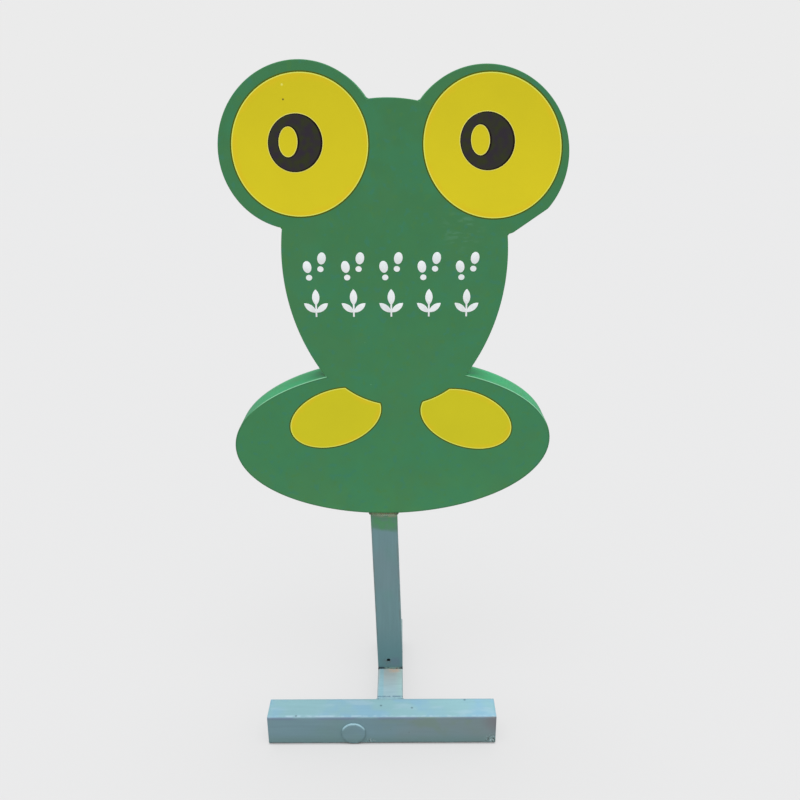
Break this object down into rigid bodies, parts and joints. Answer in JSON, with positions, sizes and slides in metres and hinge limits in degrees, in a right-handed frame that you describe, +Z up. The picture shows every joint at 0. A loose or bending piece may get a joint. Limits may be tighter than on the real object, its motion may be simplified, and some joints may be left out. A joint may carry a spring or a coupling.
{
  "type": "park signboard",
  "caption": "Free-standing welded park signboard: a flat box in the shape of a frog on a square post, with a T-shaped tube base that stands on the ground.",
  "frame": {"origin": "on the ground under the middle of the whole object's box", "axes": "+Z up, -Y the way the sign's face looks, +X to the right as seen from the front"},
  "size_m": [0.4558, 0.2426, 0.9636],
  "materials": {
    "green_paint": "satin green paint on sheet steel, slightly weathered",
    "yellow_film": "satin yellow film",
    "black_film": "satin black film",
    "white_film": "satin white film",
    "post_paint": "flat grey-green paint with green overspray near the sign",
    "base_paint": "flat blue-grey paint, chipped at the corners",
    "rusty_weld": "weld bead with thin paint and rust",
    "bare_strip": "bare mild steel strip, hidden inside"
  },
  "bodies": {
    "root": {"face_panel": "green_paint", "back_panel": "green_paint", "left_eye_band": "green_paint", "right_eye_band": "green_paint", "crown_band": "green_paint", "left_cheek_band": "green_paint", "right_cheek_band": "green_paint", "body_band_left": "green_paint", "body_band_right": "green_paint", "head_rib": "bare_strip", "eye_rib": "bare_strip", "body_rib_left": "bare_strip", "body_rib_right": "bare_strip", "left_iris": "yellow_film", "right_iris": "yellow_film", "left_pupil": "black_film", "right_pupil": "black_film", "left_belly_patch": "yellow_film", "right_belly_patch": "yellow_film", "upper_motif_row": "white_film", "lower_motif_row": "white_film", "post": "post_paint", "collar_weld": "rusty_weld", "foot_weld": "rusty_weld", "crossbar": "base_paint", "tail_beam": "base_paint", "tail_weld": "rusty_weld", "crossbar_left_plate": "base_paint", "crossbar_right_plate": "base_paint", "tail_end_plate": "base_paint", "round_cover": "base_paint", "cover_weld": "base_paint"}
  },
  "joints": []
}
